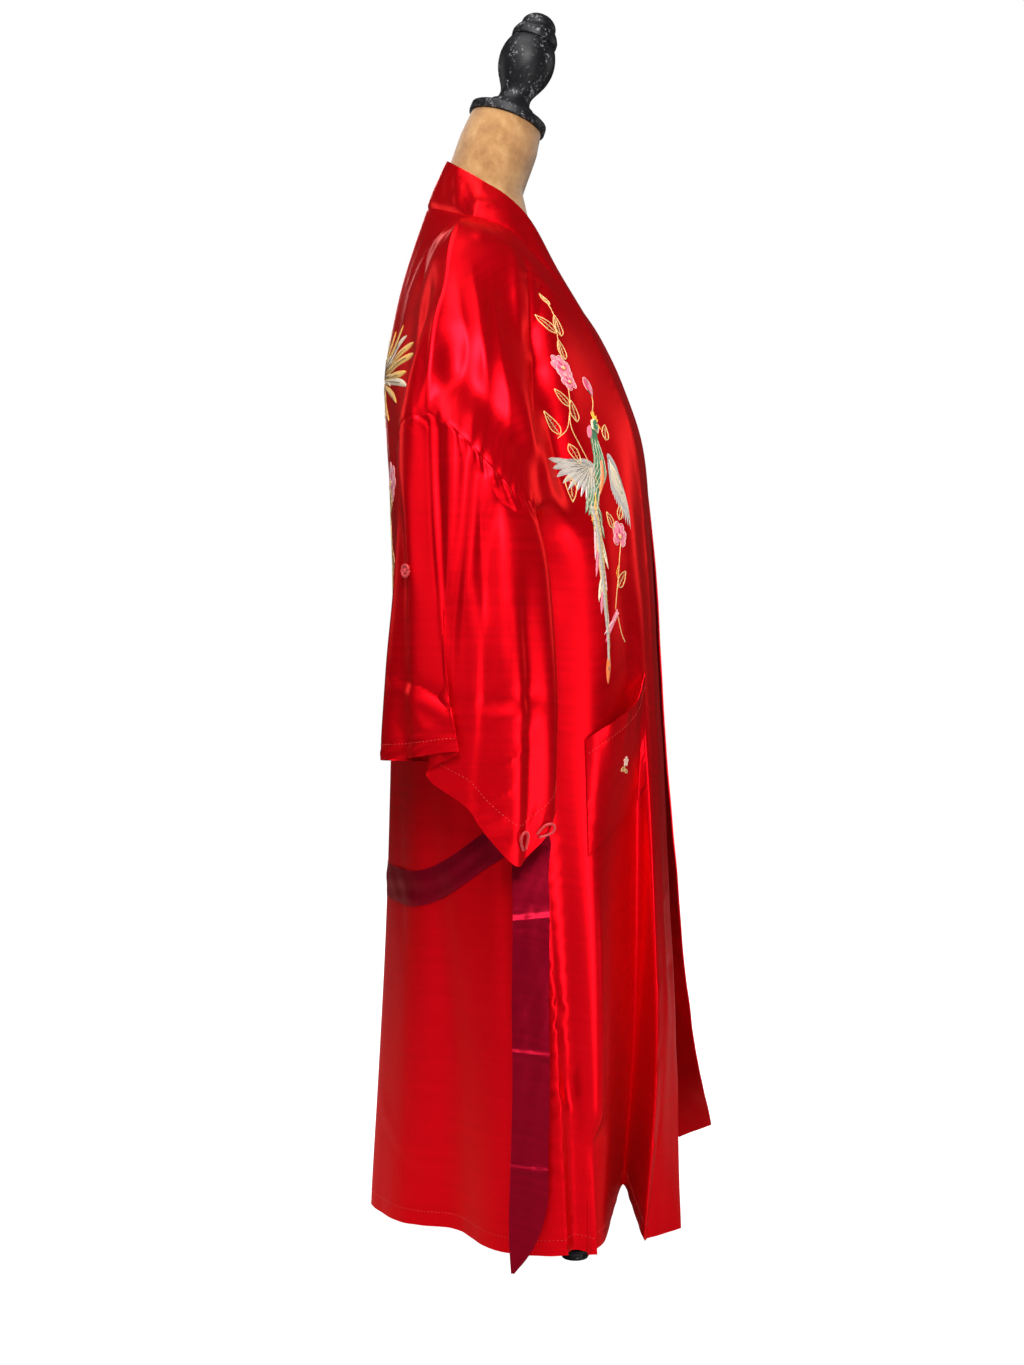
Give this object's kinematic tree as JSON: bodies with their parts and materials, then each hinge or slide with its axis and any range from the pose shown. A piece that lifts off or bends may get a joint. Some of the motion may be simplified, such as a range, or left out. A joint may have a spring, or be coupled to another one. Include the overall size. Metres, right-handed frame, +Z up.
{
  "type": "silk kimono on a limbless dress form with a turned finial",
  "caption": "Long open silk kimono with dropped sleeves, collar band, patch pockets and sash, hanging on a dress form that stands on a pole and three feet.",
  "frame": {"origin": "on the floor, under the middle of the whole object's footprint", "axes": "+Z up; the wearer's front faces -Y and the wearer's left is +X"},
  "size_m": [0.5452, 0.4802, 1.6011],
  "materials": {
    "silk": "red silk satin with a strong sheen and fine embroidery",
    "belt": "dark crimson satin with pressed folds",
    "cord": "thin red satin cord",
    "suede": "mottled tan suede cloth",
    "wood": "black paint worn to silver grey in specks and along the turned edges"
  },
  "bodies": {
    "root": {"back": "silk", "front_right": "silk", "front_left": "silk", "sleeve_right": "silk", "sleeve_left": "silk", "collar_band": "silk", "pocket_right": "silk", "pocket_left": "silk", "belt_back": "belt", "belt_tail_right": "belt", "belt_tail_left": "belt", "belt_loop_right": "silk", "belt_loop_left": "silk", "cuff_loop_right_1": "cord", "cuff_loop_right_2": "cord", "cuff_loop_left_1": "cord", "cuff_loop_left_2": "cord", "sleeve_button_right": "cord", "sleeve_button_left": "cord", "form_torso": "suede", "neck_cap": "wood", "finial": "wood", "pole": "wood", "stand_hub": "wood", "stand_leg_1": "wood", "stand_leg_2": "wood", "stand_leg_3": "wood", "stand_foot_1": "wood", "stand_foot_2": "wood", "stand_foot_3": "wood"}
  },
  "joints": []
}
